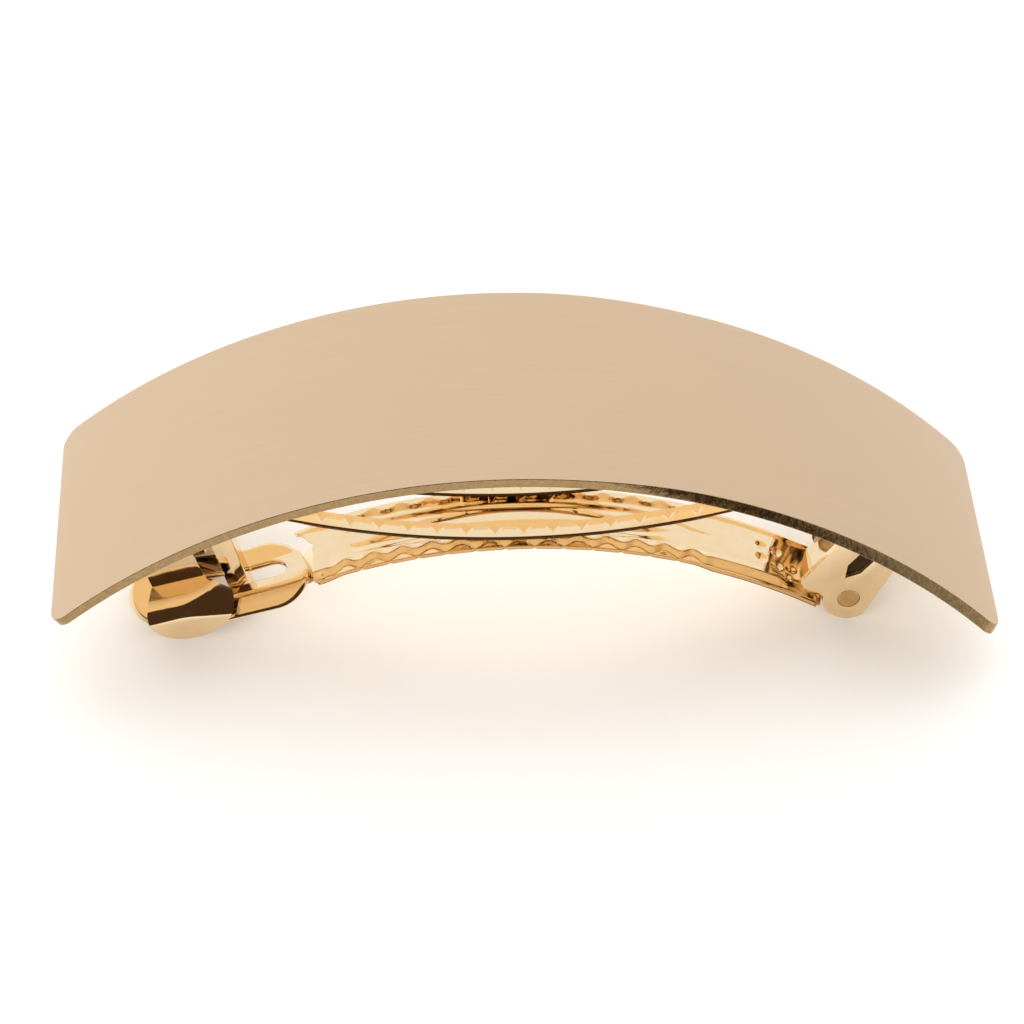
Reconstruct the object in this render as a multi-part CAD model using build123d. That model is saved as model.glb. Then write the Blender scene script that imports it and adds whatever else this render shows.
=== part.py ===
"""A french barrette: a curved metal plate carried by a sprung clip with a hinged arm.

Millimetres, +Z up. The clip is built in its own frame, where X = 0 is the middle of its bow and
z = 0 is the surface that its finger pads and hinge ears stand on. The last step moves every piece
along X so that the origin lies under the middle of the whole barrette.
"""

from math import asin, atan2, cos, degrees, radians, sin, sqrt
import os

from build123d import *

# plate: a strip of cylinder that covers the clip
plate_radius = 68.9
plate_length = 108.0
plate_width = 31.0
plate_thickness = 0.9
plate_turn = 3.0
plate_corner = 2.2
plate_edge_round = 0.15
cut_edge_share = 1.2
plate_top_z = 28.4

# base bar: soldered under the plate, with the hinge ears bent down at its right end
bar_gap = 0.1
bar_thickness = 0.8
bar_width = 9.4
bar_left_x = -38.9
bar_right_x = 44.6
bar_corner = 1.5

# hinge: pin, ears and the barrel of the arm
pin_x = 36.55
pin_radius = 1.15
pin_fit = 0.03
barrel_wall = 0.7
barrel_half_width = 3.2
barrel_fit = 0.06
ear_thickness = 0.7
ear_side_gap = 0.2
ear_lobe = 2.75
ear_back_reach = 2.45
ear_toe_reach = 5.15
ear_toe_height = 2.4
ear_toe_round = 0.7
ear_step_reach = 3.1
ear_step_rise = 0.85
ear_front_slope = 54.2
ear_back_slope = 63.7
gusset_angle = 38.0
gusset_width = 1.8
gusset_low_radius = 58.5
gusset_point = 1.5
gusset_depth = 0.35

# arm: the long pressed strip that swings on the pin
arm_radius = 60.0
arm_centre_x = 2.0
arm_low_z = 10.25
arm_thickness = 0.65
arm_width = 9.4
arm_left_x = -19.6
arm_right_x = 34.1
arm_corner = 0.8
channel_half_width = 2.1
channel_depth = 0.45
channel_left_x = -16.6
channel_right_x = 24.0
scallop_count = 14
scallop_pitch = 3.07
scallop_radius = 1.15
scallop_rise = 0.15
scallop_inset = 0.65
dimple_radius = 0.55
dimple_depth = 0.2
dimple_pitch = 1.7
dimple_x = 29.4

# ring: the sunk oval loop at the free end of the arm
ring_radius = 46.0
ring_tip_x = -38.6
ring_tip_z = 1.35
ring_right_x = -20.7
ring_half_width = 4.8
ring_tip_round = 4.3
ring_root_round = 3.6
ring_dome = 0.85
hole_half_width = 1.9
hole_left_x = -36.1
hole_right_x = -22.0
neck_width = 3.2
neck_overlap = 0.9
neck_rise = 0.2

# bow: the sprung strip between the arm and the base bar
bow_radius = 86.0
bow_centre_x = 1.8
bow_clear = 0.25
bow_thickness = 0.5
bow_width = 9.3
bow_rail = 2.25
bow_bend_x = 24.5
bow_rise_slope = 45.0
bow_foot = 1.6
bow_foot_gap = 0.1
bow_slot_end = 3.0
dent_count = 14
dent_pitch = 3.01
dent_depth = 0.2
dent_width = 1.5
dent_height = 1.3

# catch: one folded sheet with a nose post through the ring, two legs and two finger pads
catch_lean = 15.0
catch_sheet = 0.6
nose_x = -26.15
nose_z = 0.5
nose_half_width = 1.5
post_depth = 2.1
barb_reach = 0.3
barb_low = 0.5
barb_high = 2.2
leg_half_width = 2.5
leg_start = 3.3
leg_end = 8.9
leg_low = 5.9
leg_high = 12.5
foot_length = 6.6
foot_half_width = 3.6
foot_gap = 0.1
pad_half_width = 5.9
pad_long = 4.7
pad_short = 3.3
pad_tilt = 20.0
pad_centre_x = -32.45
pad_bend = 2.0
pad_shelf = 6.5

# values worked out from the ones above
plate_centre_z = plate_top_z - plate_radius
plate_half_angle = degrees(plate_length / 2 / plate_radius)
plate_inner = plate_radius - plate_thickness
bar_outer = plate_inner - bar_gap
bar_inner = bar_outer - bar_thickness
pin_z = ear_lobe
ear_inner_y = arm_width / 2 + ear_side_gap
ear_outer_y = ear_inner_y + ear_thickness
barrel_radius = pin_radius + barrel_fit + barrel_wall
arm_centre_z = arm_low_z - arm_radius
arm_top = arm_radius + arm_thickness
ring_centre_z = ring_tip_z + ring_radius
bow_low_z = arm_low_z + arm_thickness + scallop_rise + bow_clear
bow_centre_z = bow_low_z + bow_radius
reach = plate_length
core = bar_thickness
wide_angle = 60.0
turn_spare = 1.0


def on_circle(centre_x, centre_z, radius, angle):
    """Point of a circle in the XZ plane, with the angle in degrees from straight up."""
    return (centre_x + radius * sin(radians(angle)), centre_z + radius * cos(radians(angle)))


def strip(outline, half_width):
    """Closed XZ outline given a width along Y, centred on Y = 0."""
    return extrude(Plane.XZ * make_face(outline), half_width, both=True)


def arc_band(centre_x, centre_z, low, high, start, end, half_width):
    """Curved strip between two radii and two angles from straight up."""
    middle = (start + end) / 2
    points = [on_circle(centre_x, centre_z, high, a) for a in (start, middle, end)]
    back = [on_circle(centre_x, centre_z, low, a) for a in (end, middle, start)]
    outline = Wire(
        [
            Edge.make_three_point_arc(*[Vector(x, y) for x, y in points]),
            Edge.make_line(Vector(*points[2]), Vector(*back[0])),
            Edge.make_three_point_arc(*[Vector(x, y) for x, y in back]),
            Edge.make_line(Vector(*back[2]), Vector(*points[0])),
        ]
    )
    return strip(outline, half_width)


def polygon_strip(points, half_width):
    """Strip along Y whose XZ outline has straight sides."""
    return strip(Wire.make_polygon([Vector(x, y) for x, y in points], close=True), half_width)


def plate_band(low, high, start, end, half_width):
    """Curved strip that shares the axis of the plate."""
    return arc_band(0, plate_centre_z, low, high, start, end, half_width)


def cut_edges(shape, thickness):
    """The short edges that cross the thickness of a strip at its corners."""
    return [e for e in shape.edges() if e.length < thickness * cut_edge_share]


def make_plate():
    """Cover plate with rounded corners and softened edges."""
    start = plate_turn - plate_half_angle
    end = plate_turn + plate_half_angle
    plate = plate_band(plate_inner, plate_radius, start, end, plate_width / 2)
    plate = fillet(cut_edges(plate, plate_thickness), plate_corner)
    rims = [e for e in plate.edges() if e.length > plate_thickness * cut_edge_share]
    return fillet(rims, plate_edge_round)


def radial(angle, radius, centre_x=0.0, centre_z=None):
    """Frame on a circle whose Z axis points away from the centre and whose Y stays along Y."""
    centre_z = plate_centre_z if centre_z is None else centre_z
    x, z = on_circle(centre_x, centre_z, radius, angle)
    return Location((x, 0, z), (0, angle, 0))


def ear_outline():
    """Side view of one hinge ear, from its toe up to the base bar and back round the pin."""
    toe_x = pin_x - ear_toe_reach
    toe_z = pin_z + ear_toe_height
    front = radians(ear_front_slope)
    back = radians(ear_back_slope)
    rise = ear_toe_reach * 4
    front_top = (toe_x + rise * cos(front), toe_z + rise * sin(front))
    back_foot = (pin_x + ear_back_reach * sin(back), pin_z - ear_back_reach * cos(back))
    back_top = (back_foot[0] + rise * cos(back), back_foot[1] + rise * sin(back))
    step_x = pin_x - ear_step_reach
    step_z = pin_z + ear_step_rise
    return [
        (toe_x, toe_z),
        front_top,
        back_top,
        back_foot,
        (pin_x, pin_z),
        (step_x + ear_toe_round, pin_z),
        (step_x, step_z),
        (toe_x + ear_toe_round / 2, step_z + ear_toe_round),
    ]


def make_base_bar():
    """Bar under the plate with two ears, their stiffening darts and the pin holes."""
    start = degrees(asin(bar_left_x / bar_outer))
    end = degrees(asin(bar_right_x / bar_outer))
    bar = plate_band(bar_inner, bar_outer, start, end, bar_width / 2)
    bar = fillet(cut_edges(bar, bar_thickness), bar_corner)
    shape = polygon_strip(ear_outline(), ear_outer_y) + make_lobe()
    shape = shape & plate_band(core, bar_outer, 0, 90, ear_outer_y)
    between = Box(reach, 2 * ear_inner_y, reach)
    under_bar = plate_band(core, bar_inner, 0, 90, ear_outer_y)
    bar = bar + (shape - (under_bar & between))
    hub = Pos(pin_x, 0, pin_z) * Rot(90, 0, 0)
    bar = bar - hub * Cylinder(pin_radius + pin_fit, reach)
    for side in (-1, 1):
        bar = bar - make_gusset(side)
    return bar


def make_lobe():
    """Round foot of the ears, cut off flat along their back edge."""
    hub = Pos(pin_x, 0, pin_z) * Rot(90, 0, 0)
    lobe = hub * Cylinder(ear_lobe, 2 * ear_outer_y)
    back = Pos(pin_x, 0, pin_z) * Rot(0, 90 - ear_back_slope, 0)
    spare = 2 * ear_lobe
    return lobe - back * Pos(ear_back_reach + spare, 0, 0) * Box(2 * spare, 2 * reach, 2 * spare)


def make_gusset(side):
    """Pointed dart pressed into the outer face of an ear, down from the base bar."""
    half = gusset_width / 2
    straight = bar_outer - gusset_low_radius - gusset_point
    outline = [
        Vector(-half, bar_thickness),
        Vector(half, bar_thickness),
        Vector(half, -straight),
        Vector(0, -straight - gusset_point),
        Vector(-half, -straight),
    ]
    dart = Plane.XZ * make_face(Wire.make_polygon(outline, close=True))
    dart = Pos(0, side * ear_outer_y, 0) * extrude(dart, gusset_depth, both=True)
    return radial(gusset_angle, bar_outer) * dart


def make_hinge_pin():
    """Pin whose ends lie flush with the ears."""
    return Pos(pin_x, 0, pin_z) * Rot(90, 0, 0) * Cylinder(pin_radius, 2 * ear_outer_y)


def arm_angle(x):
    """Angle on the arm's circle at a place along X."""
    return degrees(asin((x - arm_centre_x) / arm_radius))


def arm_frame(angle, radius):
    """Frame on the arm's circle, with Z away from its centre."""
    return radial(angle, radius, arm_centre_x, arm_centre_z)


def arm_band(low, high, start_x, end_x, half_width):
    """Strip that follows the arm between two places along X."""
    return arc_band(
        arm_centre_x, arm_centre_z, low, high, arm_angle(start_x), arm_angle(end_x), half_width
    )


def channel_tool(grow):
    """Long rounded wedge that stands over the channel of the arm."""
    length = channel_right_x - channel_left_x + 2 * grow
    middle = (channel_left_x + channel_right_x) / 2
    top_z = arm_low_z + arm_thickness
    sketch = Pos(middle, 0, top_z) * SlotOverall(length, 2 * (channel_half_width + grow))
    return extrude(sketch, -reach / 4)


def make_arm_strip():
    """Arched strip with its pressed channel, scalloped sides and dimples."""
    arm = arm_band(arm_radius, arm_top, arm_left_x, arm_right_x, arm_width / 2)
    arm = fillet(cut_edges(arm, arm_thickness), arm_corner)
    floor = arm_band(
        arm_radius - channel_depth,
        arm_top - channel_depth,
        channel_left_x - channel_depth,
        channel_right_x + channel_depth,
        arm_width / 2,
    )
    room = arm_band(
        arm_top - channel_depth, arm_top + channel_depth, channel_left_x, channel_right_x, arm_width / 2
    )
    wall = channel_depth / 2
    arm = arm + (floor & channel_tool(wall))
    arm = arm - (room & channel_tool(-wall))
    return arm


def make_scallops():
    """Row of low half-round bosses along both sides of the arm."""
    bosses = []
    clip = Box(2 * reach, arm_width, 2 * reach)
    step = degrees(scallop_pitch / arm_top)
    first = -step * (scallop_count - 1) / 2
    height = scallop_rise + arm_thickness / 2
    for index in range(scallop_count):
        frame = arm_frame(first + index * step, arm_top + scallop_rise)
        for side in (-1, 1):
            place = frame * Pos(0, side * (arm_width / 2 - scallop_inset), -height / 2)
            bosses.append((place * Cylinder(scallop_radius, height)) & clip)
    return bosses


def make_dimples():
    """Plain round dimples pressed in two short rows near the hinge."""
    balls = []
    radius = (dimple_radius**2 + dimple_depth**2) / (2 * dimple_depth)
    step = degrees(dimple_pitch / arm_top)
    for column in (-0.5, 0.5):
        frame = arm_frame(arm_angle(dimple_x) + column * step, arm_top - dimple_depth + radius)
        for row in (-1, 0, 1):
            balls.append(frame * Pos(0, row * dimple_pitch, 0) * Sphere(radius))
    return balls


def ring_height(x):
    """Height of the ring's top face beside its hole."""
    return ring_centre_z - sqrt(ring_radius**2 - (x - ring_tip_x) ** 2)


def make_ring():
    """Oval loop cut from a sheet that is domed across and curved along."""
    top = [
        (-ring_half_width, -ring_dome),
        (-hole_half_width, 0),
        (hole_half_width, 0),
        (ring_half_width, -ring_dome),
    ]
    bottom = [(y, z - arm_thickness) for y, z in reversed(top)]
    outline = [Vector(0, y, z) for y, z in top + bottom]
    section = Pos(ring_tip_x, 0, ring_tip_z) * make_face(Wire.make_polygon(outline, close=True))
    axis = Axis((ring_tip_x, 0, ring_centre_z), (0, -1, 0))
    sweep_angle = degrees(asin((ring_right_x - ring_tip_x) / ring_radius)) + turn_spare
    sheet = revolve(section, axis, sweep_angle)
    return sheet & (plan_outline(reach) - plan_hole(reach))


def plan_outline(height):
    """Rounded plan of the ring, wider round at its tip than at its root."""
    length = ring_right_x - ring_tip_x
    middle = (ring_right_x + ring_tip_x) / 2
    block = Pos(middle, 0, 0) * Box(length, 2 * ring_half_width, height)
    tip = [e for e in block.edges() | Axis.Z if e.center().X < middle]
    block = fillet(tip, ring_tip_round)
    root = (block.edges() | Axis.Z).sort_by(Axis.X)[-2:]
    return fillet(root, ring_root_round)


def plan_hole(height):
    """Long rounded opening of the ring."""
    middle = (hole_left_x + hole_right_x) / 2
    slot = SlotOverall(hole_right_x - hole_left_x, 2 * hole_half_width)
    return extrude(Pos(middle, 0, 0) * slot, height, both=True)


def make_neck():
    """Short steep tongue that joins the sunk ring to the arm."""
    foot_x = ring_right_x
    head_x = arm_left_x
    foot_z = ring_height(foot_x)
    head_z = arm_centre_z + sqrt(arm_top**2 - (head_x - arm_centre_x) ** 2)
    return polygon_strip(
        [
            (foot_x - neck_overlap, foot_z - arm_thickness / 2),
            (foot_x - neck_rise, foot_z - arm_thickness),
            (head_x + neck_overlap, head_z - arm_thickness / 2),
            (head_x + neck_rise, head_z),
        ],
        neck_width / 2,
    )


def make_arm():
    """Arm: strip, hinge barrel, neck and ring in one piece of sheet."""
    arm = make_arm_strip()
    arm = arm + make_scallops()
    arm = arm - make_dimples()
    end_angle = arm_angle(arm_right_x - arm_corner)
    end_low = on_circle(arm_centre_x, arm_centre_z, arm_radius, end_angle)
    end_top = on_circle(arm_centre_x, arm_centre_z, arm_top, end_angle)
    low_z = pin_z - barrel_radius
    tab = [end_top, end_low, (pin_x, low_z), (pin_x, low_z + barrel_wall)]
    arm = arm + polygon_strip(tab, barrel_half_width)
    hub = Pos(pin_x, 0, pin_z) * Rot(90, 0, 0)
    arm = arm + hub * Cylinder(barrel_radius, 2 * barrel_half_width)
    arm = arm - hub * Cylinder(pin_radius + barrel_fit, reach)
    return arm + make_ring() + make_neck()


def bow_band(low, high, start, end, half_width):
    """Curved strip that hangs from the bow's centre, which lies above it."""
    return arc_band(bow_centre_x, bow_centre_z, low, high, 180 - end, 180 - start, half_width)


def bow_end(side):
    """Rising end of the bow with a short foot that lies along the base bar."""
    lean = side * degrees(asin(bow_bend_x / bow_radius))
    low = on_circle(bow_centre_x, bow_centre_z, bow_radius, 180 - lean)
    high = on_circle(bow_centre_x, bow_centre_z, bow_radius - bow_thickness, 180 - lean)
    top = bar_inner - bow_foot_gap
    slope = radians(bow_rise_slope)
    run = reach / 10
    rise = [
        low,
        (low[0] + side * run * cos(slope), low[1] + run * sin(slope)),
        (high[0] + side * run * cos(slope), high[1] + run * sin(slope)),
        high,
    ]
    under = plate_band(core, top, -wide_angle, wide_angle, bow_width / 2)
    leg = polygon_strip(rise, bow_width / 2) & under
    far = max(leg.vertices(), key=lambda v: side * v.X)
    near_angle = degrees(asin(far.X / top)) - side * turn_spare
    far_angle = near_angle + side * (degrees(bow_foot / top) + turn_spare)
    start, end = sorted((near_angle, far_angle))
    return leg + plate_band(top - bow_thickness, top, start, end, bow_width / 2)


def make_bow():
    """Bow with two rails, dented along their length."""
    lean = degrees(asin(bow_bend_x / bow_radius))
    bow = bow_band(bow_radius - bow_thickness, bow_radius, -lean, lean, bow_width / 2)
    slot_length = 2 * (bow_bend_x - bow_slot_end)
    slot = SlotOverall(slot_length, bow_width - 2 * bow_rail)
    bow = bow - extrude(Pos(bow_centre_x, 0, bow_low_z) * slot, reach / 4, both=True)
    bow = bow + bow_end(-1) + bow_end(1)
    return bow - make_dents()


def make_dents():
    """Small triangular dents in the top of both rails."""
    dents = []
    step = degrees(dent_pitch / bow_radius)
    first = -step * (dent_count - 1) / 2
    triangle = Polygon((-dent_width / 2, dent_height / 2), (dent_width / 2, dent_height / 2),
                       (0, -dent_height / 2), align=None)
    for index in range(dent_count):
        angle = first + index * step
        x, z = on_circle(bow_centre_x, bow_centre_z, bow_radius - bow_thickness, 180 - angle)
        for side in (-1, 1):
            y = side * (bow_width - bow_rail) / 2
            frame = Location((x, y, z), (0, -angle, 0))
            dents.append(extrude(frame * triangle, dent_depth, both=True))
    return dents


def catch_frame():
    """Frame of the leaning catch: X to the nose, Z up along the post."""
    return Location((nose_x, 0, nose_z), (0, -catch_lean, 0))


def make_post():
    """Hollow nose post from below the ring up to the base bar."""
    round_x = -nose_half_width
    outer = SlotCenterToCenter(2 * post_depth, 2 * nose_half_width)
    outer = Pos(round_x - post_depth, 0) * outer
    inner = SlotCenterToCenter(2 * post_depth, 2 * (nose_half_width - catch_sheet))
    inner = Pos(round_x - post_depth, 0) * inner
    keep = Pos(-post_depth / 2, 0) * Rectangle(post_depth, reach)
    section = (outer - inner) & keep
    post = extrude(section, reach / 3)
    return post + make_barbs()


def make_barbs():
    """Small lugs that stand out on the post just under the ring."""
    barbs = []
    middle = (barb_low + barb_high) / 2
    for side in (-1, 1):
        outline = Plane.YZ * make_face(
            Wire.make_polygon(
                [
                    Vector(side * (nose_half_width - catch_sheet / 2), barb_low),
                    Vector(side * nose_half_width, barb_low),
                    Vector(side * (nose_half_width + barb_reach), middle),
                    Vector(side * (nose_half_width + barb_reach), barb_high),
                    Vector(side * (nose_half_width - catch_sheet / 2), barb_high),
                ],
                close=True,
            )
        )
        barbs.append(Pos(-post_depth, 0, 0) * extrude(outline, post_depth - nose_half_width / 2))
    return barbs


def make_legs():
    """Two legs that step out from the post and run back beside each other."""
    outer = [
        (-nose_half_width / 2, nose_half_width),
        (-post_depth, nose_half_width),
        (-leg_start, leg_half_width),
        (-leg_end, leg_half_width),
    ]
    inner = [
        (-leg_end, leg_half_width - catch_sheet),
        (-leg_start - catch_sheet / 2, leg_half_width - catch_sheet),
        (-post_depth - catch_sheet / 2, nose_half_width - catch_sheet),
        (-nose_half_width / 2, nose_half_width - catch_sheet),
    ]
    half = make_face(Wire.make_polygon([Vector(x, y) for x, y in outer + inner], close=True))
    leg = extrude(Pos(0, 0, leg_low) * half, leg_high - leg_low)
    return leg + mirror(leg, Plane.XZ)


def make_pads(frame):
    """Finger pads: sheet that leaves the foot of each leg and rolls down outside the ring."""
    inner_y = leg_half_width - catch_sheet
    top = pad_shelf
    bend_y = pad_half_width - pad_bend
    bend_in = pad_bend - catch_sheet
    low = -reach / 10
    edges = [
        Edge.make_line(Vector(inner_y, top), Vector(bend_y, top)),
        Edge.make_three_point_arc(
            Vector(bend_y, top),
            Vector(bend_y + pad_bend * sin(radians(45)), top - pad_bend * (1 - cos(radians(45)))),
            Vector(pad_half_width, top - pad_bend),
        ),
        Edge.make_line(Vector(pad_half_width, top - pad_bend), Vector(pad_half_width, low)),
        Edge.make_line(Vector(pad_half_width, low), Vector(pad_half_width - catch_sheet, low)),
        Edge.make_line(
            Vector(pad_half_width - catch_sheet, low),
            Vector(pad_half_width - catch_sheet, top - pad_bend),
        ),
        Edge.make_three_point_arc(
            Vector(pad_half_width - catch_sheet, top - pad_bend),
            Vector(bend_y + bend_in * sin(radians(45)), top - pad_bend + bend_in * cos(radians(45))),
            Vector(bend_y, top - catch_sheet),
        ),
        Edge.make_line(Vector(bend_y, top - catch_sheet), Vector(inner_y, top - catch_sheet)),
        Edge.make_line(Vector(inner_y, top - catch_sheet), Vector(inner_y, top)),
    ]
    section = Plane.YZ * make_face(Wire(edges))
    sheet = frame * extrude(section, reach / 5, both=True)
    drop = sqrt((pad_long * sin(radians(pad_tilt))) ** 2 + (pad_short * cos(radians(pad_tilt))) ** 2)
    oval = Plane.XZ * (Pos(pad_centre_x, drop) * Rot(0, 0, pad_tilt) * Ellipse(pad_long, pad_short))
    pad = sheet & extrude(oval, reach, both=True)
    return pad + mirror(pad, Plane.XZ)


def make_catch():
    """Catch: post, legs, pads and the foot that lies under the base bar."""
    frame = catch_frame()
    top = bar_inner - foot_gap
    under = plate_band(core, top, -wide_angle, 0, plate_width / 2)
    post = (frame * make_post()) & under
    head = max(post.vertices(), key=lambda v: v.Z)
    head_angle = degrees(asin(head.X / top))
    foot = plate_band(
        top - catch_sheet, top, head_angle - degrees(foot_length / top), head_angle, foot_half_width
    )
    return post + foot + frame * make_legs() + make_pads(frame)


def origin_shift():
    """Move along X that puts the origin under the middle of the plate."""
    left = plate_radius * sin(radians(plate_turn - plate_half_angle))
    right = plate_radius * sin(radians(plate_turn + plate_half_angle))
    return Location((-(left + right) / 2, 0, 0))


def main():
    """Write one file for each piece."""
    os.makedirs("parts", exist_ok=True)
    pieces = {
        "plate": make_plate(),
        "base_bar": make_base_bar(),
        "hinge_pin": make_hinge_pin(),
        "arm": make_arm(),
        "bow": make_bow(),
        "catch": make_catch(),
    }
    for name, piece in pieces.items():
        export_step(origin_shift() * piece, f"parts/{name}.step")


main()
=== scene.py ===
"""The finished look of a french barrette: a brushed cover plate over a polished spring clip.

Sizes are in millimetres in the clip's own frame, where X = 0 is the middle of the clip and Z = 0 is
the surface that it stands on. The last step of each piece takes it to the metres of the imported
frame. A sheet is a grid of faces, laid by a place: a function that turns a share from 0 to 1 along
the sheet and one across it into a point of its outer face.
"""

import logging
from bisect import bisect_right
from dataclasses import dataclass
from enum import Enum
from math import asin, atan2, cos, hypot, pi, radians, sin, sqrt
from typing import Callable

import bmesh
import bpy
from mathutils import Matrix, Vector


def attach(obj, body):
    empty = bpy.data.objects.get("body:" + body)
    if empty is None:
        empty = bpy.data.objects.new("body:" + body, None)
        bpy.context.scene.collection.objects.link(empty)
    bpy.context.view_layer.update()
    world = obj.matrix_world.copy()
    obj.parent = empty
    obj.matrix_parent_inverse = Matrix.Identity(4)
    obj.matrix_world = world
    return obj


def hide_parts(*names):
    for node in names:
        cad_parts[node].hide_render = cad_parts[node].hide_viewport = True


LOG = logging.getLogger("barrette")
MM = 0.001
# Spacing of the points along an arc, and the fewest steps that one is drawn in.
ARC_STEP = 0.1
ARC_LEAST = 8
# Rows of faces that round each rim of a sheet.
RIM_ROWS = 3.0
# An edge that turns more than this stays crisp when the faces are smoothed.
CRISP = radians(38.0)
# A face whose unit normal has more than this along its part's axis counts as lying flat.
UPRIGHT = 0.9
# Points of a sheet that are nearer than this are one.
WELD = 1e-5
# Setting of a map range that eases in and out.
SOFT_STEP = {"interpolation_type": "SMOOTHSTEP"}

Mesh = bmesh.types.BMesh
Pair = tuple[float, float]
Triple = tuple[float, float, float]
Place = Callable[[float, float], Vector]


class Body(Enum):
    """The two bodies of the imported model."""

    FRAME = "frame"
    ARM = "arm"


class Rounded(Enum):
    """What a bevel rounds."""

    EDGES = "EDGES"
    CORNERS = "VERTICES"


def smooth(low: float, high: float, value: float) -> float:
    """Soft step from 0 at a low value to 1 at a high one."""
    share = min(1.0, max(0.0, (value - low) / (high - low)))
    return share * share * (3.0 - 2.0 * share)


def mix(low: float, high: float, share: float) -> float:
    """Value at a share of the way from low to high."""
    return low + (high - low) * share


def eased(share: float) -> float:
    """Spread even shares so that they lie closer together near 0 and 1."""
    return 0.5 - 0.5 * cos(pi * share)


def crossing(low: float, high: float, before: Callable[[float], bool], halvings: int) -> Pair:
    """Close in on the value up to which a test holds.

    Args:
        low: Value where the test holds.
        high: Value where it doesn't.
        before: The test.
        halvings: How often the span between the two is halved.

    Returns:
        Both ends of the last span.
    """
    for _ in range(halvings):
        middle = (low + high) / 2.0
        low, high = (middle, high) if before(middle) else (low, middle)
    return low, high


def on_circle(centre: Pair, radius: float, angle: float) -> Vector:
    """Point of a circle, with the angle in radians from straight up."""
    return Vector((centre[0] + radius * sin(angle), centre[1] + radius * cos(angle)))


def arc(centre: Pair, radius: float, start: float, end: float) -> list[Vector]:
    """Closely spaced points of a circle between two angles in radians from straight up."""
    steps = max(ARC_LEAST, int(abs(end - start) * radius / ARC_STEP))
    return [on_circle(centre, radius, mix(start, end, i / steps)) for i in range(steps + 1)]


class Route:
    """A line in a plane that a strip of sheet metal follows."""

    # Neighbours to each side that round a corner, and half the run that a normal is read over.
    NEIGHBOURS: int = 6
    HALF_RUN: float = 0.05

    def __init__(self, points: list[Vector], bend: float) -> None:
        """Keep the points, evenly spaced, with their corners rounded.

        Args:
            points: Corners and arc points in order.
            bend: How far to each side of a corner the bend reaches.
        """
        self._measure(points)
        self._measure(self._rounded(bend))

    def _measure(self, points: list[Vector]) -> None:
        """Store points with the length up to each of them.

        Args:
            points: The points in order.
        """
        self.points = [Vector((p[0], p[1])) for p in points]
        self.marks = [0.0]
        for a, b in zip(self.points, self.points[1:]):
            self.marks.append(self.marks[-1] + (b - a).length)

    def _rounded(self, bend: float) -> list[Vector]:
        """Space the points evenly and take the mean of each with its neighbours.

        Args:
            bend: How far to each side of a corner the bend reaches.

        Returns:
            The new points in order.
        """
        count = max(2, int(self.length / (bend / self.NEIGHBOURS)))
        even = [self.point(self.length * i / count) for i in range(count + 1)]
        result = []
        for i in range(count + 1):
            reach = min(self.NEIGHBOURS, i, count - i)
            near = even[i - reach : i + reach + 1]
            result.append(sum(near, Vector((0.0, 0.0))) / len(near))
        return result

    @property
    def length(self) -> float:
        """Length of the whole route."""
        return self.marks[-1]

    def point(self, distance: float) -> Vector:
        """Look up a point of the route.

        Args:
            distance: Distance from the start.

        Returns:
            The point there.
        """
        index = min(max(bisect_right(self.marks, distance) - 1, 0), len(self.points) - 2)
        span = self.marks[index + 1] - self.marks[index]
        share = (distance - self.marks[index]) / span if span else 0.0
        return self.points[index].lerp(self.points[index + 1], share)

    def normal(self, distance: float) -> Vector:
        """Unit vector to the left of the route at a distance from its start."""
        run = self.point(distance + self.HALF_RUN) - self.point(distance - self.HALF_RUN)
        return Vector((-run.y, run.x)).normalized()


def link(name: str, data: bpy.types.ID) -> bpy.types.Object:
    """Put an object into the scene.

    Args:
        name: Name of the object.
        data: Its mesh, light or camera.

    Returns:
        The object.
    """
    made = bpy.data.objects.new(name, data)
    bpy.context.scene.collection.objects.link(made)
    return made


def show(name: str, part: Mesh) -> bpy.types.Object:
    """Turn a finished mesh into an object of the scene, and free it.

    Args:
        name: Name of the object.
        part: The mesh.

    Returns:
        The object.
    """
    data = bpy.data.meshes.new(name)
    part.to_mesh(data)
    part.free()
    return link(name, data)


class Metalwork:
    """A mesh in millimetres that sheet metal pieces are added to."""

    def __init__(self, name: str) -> None:
        """Start an empty mesh that will be an object of this name."""
        self.name = name
        self.mesh = bmesh.new()

    def add(self, part: Mesh) -> None:
        """Add a finished part and free it.

        Args:
            part: The part.
        """
        carrier = bpy.data.meshes.new(self.name + "_part")
        part.to_mesh(carrier)
        part.free()
        self.mesh.from_mesh(carrier)
        bpy.data.meshes.remove(carrier)

    def finish(
        self, body: Body, node: str, shift: float, *finishes: "GoldFinish"
    ) -> bpy.types.Object:
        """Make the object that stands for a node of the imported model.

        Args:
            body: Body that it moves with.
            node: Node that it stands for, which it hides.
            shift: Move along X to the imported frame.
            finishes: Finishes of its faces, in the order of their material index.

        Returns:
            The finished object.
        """
        bmesh.ops.translate(self.mesh, verts=self.mesh.verts, vec=Vector((shift, 0.0, 0.0)))
        bmesh.ops.scale(self.mesh, verts=self.mesh.verts, vec=Vector((MM, MM, MM)))
        for face in self.mesh.faces:
            face.smooth = True
        for edge in sharp_edges(self.mesh, CRISP):
            edge.smooth = False
        piece = show(self.name, self.mesh)
        for finish in finishes:
            piece.data.materials.append(finish.material())
        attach(piece, body.value)
        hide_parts(node)
        return piece


def sharp_edges(part: Mesh, angle: float) -> list[bmesh.types.BMEdge]:
    """Edges between two faces that turn by more than an angle."""
    return [e for e in part.edges if e.is_manifold and e.calc_face_angle(0.0) > angle]


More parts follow.
